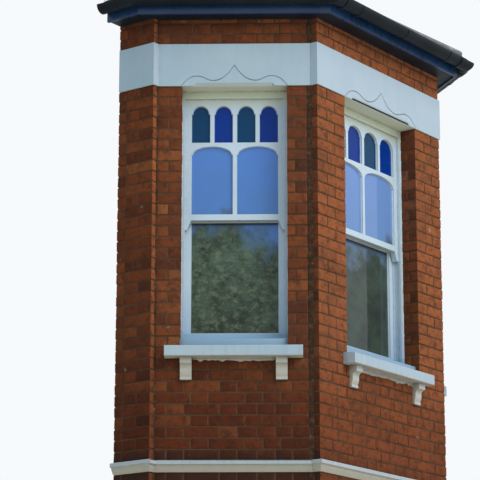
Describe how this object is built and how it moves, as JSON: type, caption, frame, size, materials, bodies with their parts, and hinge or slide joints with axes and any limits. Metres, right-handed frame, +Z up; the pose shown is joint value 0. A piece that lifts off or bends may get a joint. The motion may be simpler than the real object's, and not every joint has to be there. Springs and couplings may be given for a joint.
{
  "type": "canted brick bay window with sash windows",
  "caption": "One-storey canted bay window: brick walls, painted stone band, sills and string course, arched-light sash windows, slate roof, open at the main wall.",
  "frame": {"origin": "middle of the part's footprint on the ground, midway between the main wall's face and the gutter's front edge", "axes": "+X to the right seen from the street, +Y back into the main wall, +Z up; the front face looks along -Y"},
  "size_m": [3.3888, 1.459, 4.5262],
  "materials": {
    "brick": "weathered red brick in Flemish bond",
    "painted_stone": "stone painted pale blue-grey",
    "joinery": "timber painted pale blue-grey",
    "coloured_glass": "teal and deep blue glass",
    "clear_glass": "clear glass",
    "interior_paint": "painted boards",
    "plaster": "painted plaster",
    "floorboards": "pine boards",
    "rough_timber": "sawn softwood",
    "eaves_paint": "boards in black gloss paint",
    "gutter_metal": "cast iron in black gloss paint",
    "slate": "natural slate",
    "lead": "weathered sheet lead"
  },
  "bodies": {
    "root": {"left_base_wall": "brick", "left_string_course": "painted_stone", "left_apron": "brick", "left_head_band": "painted_stone", "left_sill": "painted_stone", "left_window_frame": "joinery", "left_upper_sash": "joinery", "left_lower_sash": "joinery", "left_gutter": "gutter_metal", "front_base_wall": "brick", "front_string_course": "painted_stone", "front_apron": "brick", "front_head_band": "painted_stone", "front_sill": "painted_stone", "front_window_frame": "joinery", "front_upper_sash": "joinery", "front_lower_sash": "joinery", "front_gutter": "gutter_metal", "right_base_wall": "brick", "right_string_course": "painted_stone", "right_apron": "brick", "right_head_band": "painted_stone", "right_sill": "painted_stone", "right_window_frame": "joinery", "right_upper_sash": "joinery", "right_lower_sash": "joinery", "right_gutter": "gutter_metal", "left_wall_pier": "brick", "left_corner_pier": "brick", "right_corner_pier": "brick", "right_wall_pier": "brick", "upper_brickwork": "brick", "sill_brackets": "painted_stone", "window_boards": "interior_paint", "wall_plaster": "plaster", "floor": "floorboards", "ceiling": "plaster", "soffit": "eaves_paint", "fascia": "eaves_paint", "coloured_glass": "coloured_glass", "clear_glass": "clear_glass", "wall_plate": "rough_timber", "rafters": "rough_timber", "slate_roof": "slate", "lead_flashings": "lead"}
  },
  "joints": []
}
